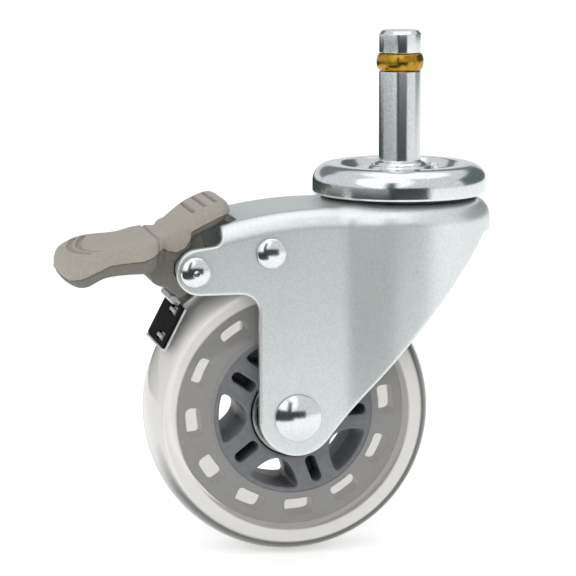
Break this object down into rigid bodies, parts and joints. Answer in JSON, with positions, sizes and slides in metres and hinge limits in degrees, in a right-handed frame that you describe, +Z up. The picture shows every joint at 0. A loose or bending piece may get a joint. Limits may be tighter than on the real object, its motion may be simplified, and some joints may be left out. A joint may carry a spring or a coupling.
{
  "type": "swivel caster",
  "caption": "Grip-ring stem swivel caster for an office chair, with a clear soft wheel on a spoked core, a ball-race swivel head and a foot-pedal wheel brake.",
  "frame": {"origin": "on the swivel axis, in the seat plane: the plane of the raceway cap's flat crest ring, which comes up against the chair leg", "axes": "+Z up along the stem; the wheel trails towards -X with its axle along Y; the brake pedal points to -X; the axle bolt's head is on the -Y side"},
  "size_m": [0.1168, 0.0505, 0.1378],
  "materials": {
    "chrome": "polished plate",
    "zinc": "satin zinc plate",
    "brass": "polished",
    "bearing_steel": "ground",
    "spring_steel": "bright zinc plate",
    "seal_rubber": "matte",
    "black_plastic": "satin",
    "grey_nylon": "satin moulded",
    "clear_urethane": "clear, glossy",
    "taupe_pad": "soft matte",
    "taupe_nylon": "matte moulded"
  },
  "bodies": {
    "stem_assembly": {"stem": "chrome", "grip_ring": "brass", "stem_collar": "chrome", "raceway_cap": "chrome", "dust_seal": "seal_rubber", "lower_race_cup": "zinc", "kingpin_washer": "zinc"},
    "upper_balls": {"upper_ball_ring": "bearing_steel"},
    "lower_balls": {"lower_ball_ring": "bearing_steel"},
    "fork_assembly": {"fork": "zinc", "axle_bolt": "chrome", "axle_nut": "zinc", "axle_spacer_near": "zinc", "axle_spacer_far": "zinc", "bearing_spacer": "zinc", "bearing_inner_ring_near": "bearing_steel", "bearing_inner_ring_far": "bearing_steel", "brake_pivot_rivet": "chrome", "brake_anchor_rivet": "chrome", "pivot_sleeve": "zinc", "anchor_sleeve": "zinc"},
    "near_bearing_balls": {"bearing_ball_cage_near": "bearing_steel"},
    "far_bearing_balls": {"bearing_ball_cage_far": "bearing_steel"},
    "wheel": {"wheel_core": "grey_nylon", "tyre": "clear_urethane", "bearing_outer_ring_near": "bearing_steel", "bearing_outer_ring_far": "bearing_steel", "bearing_shield_near": "seal_rubber", "bearing_shield_far": "seal_rubber"},
    "pedal": {"pedal_pad": "taupe_pad", "pedal_body": "taupe_nylon"},
    "brake_arm": {"brake_spring": "spring_steel", "brake_shoe": "black_plastic", "cam_follower": "spring_steel"}
  },
  "joints": [
    {"name": "swivel", "type": "hinge", "parent": "stem_assembly", "child": "fork_assembly", "pos_m": [0, 0, 0], "axis": [0, 0, 1], "continuous": true},
    {"name": "upper_balls_roll", "type": "hinge", "parent": "stem_assembly", "child": "upper_balls", "pos_m": [0, 0, 0], "axis": [0, 0, 1], "continuous": true},
    {"name": "lower_balls_roll", "type": "hinge", "parent": "stem_assembly", "child": "lower_balls", "pos_m": [0, 0, 0], "axis": [0, 0, 1], "continuous": true},
    {"name": "wheel_spin", "type": "hinge", "parent": "fork_assembly", "child": "wheel", "pos_m": [-0.0312, 0, -0.0645], "axis": [0, 1, 0], "continuous": true},
    {"name": "near_bearing_roll", "type": "hinge", "parent": "fork_assembly", "child": "near_bearing_balls", "pos_m": [-0.0312, 0, -0.0645], "axis": [0, 1, 0], "continuous": true},
    {"name": "far_bearing_roll", "type": "hinge", "parent": "fork_assembly", "child": "far_bearing_balls", "pos_m": [-0.0312, 0, -0.0645], "axis": [0, 1, 0], "continuous": true},
    {"name": "brake_pedal", "type": "hinge", "parent": "fork_assembly", "child": "pedal", "pos_m": [-0.0582, 0, -0.0253], "axis": [0, -1, 0], "range_deg": [0, 20]},
    {"name": "brake_arm_flex", "type": "hinge", "parent": "fork_assembly", "child": "brake_arm", "pos_m": [-0.0382, 0, -0.0208], "axis": [0, -1, 0], "range_deg": [0, 0.5]}
  ],
  "couplings": [
    {"joint": "upper_balls_roll", "follows": "swivel", "ratio": 0.5},
    {"joint": "lower_balls_roll", "follows": "swivel", "ratio": 0.5},
    {"joint": "near_bearing_roll", "follows": "wheel_spin", "ratio": 0.632},
    {"joint": "far_bearing_roll", "follows": "wheel_spin", "ratio": 0.632},
    {"joint": "brake_arm_flex", "follows": "brake_pedal", "ratio": 0.025}
  ]
}
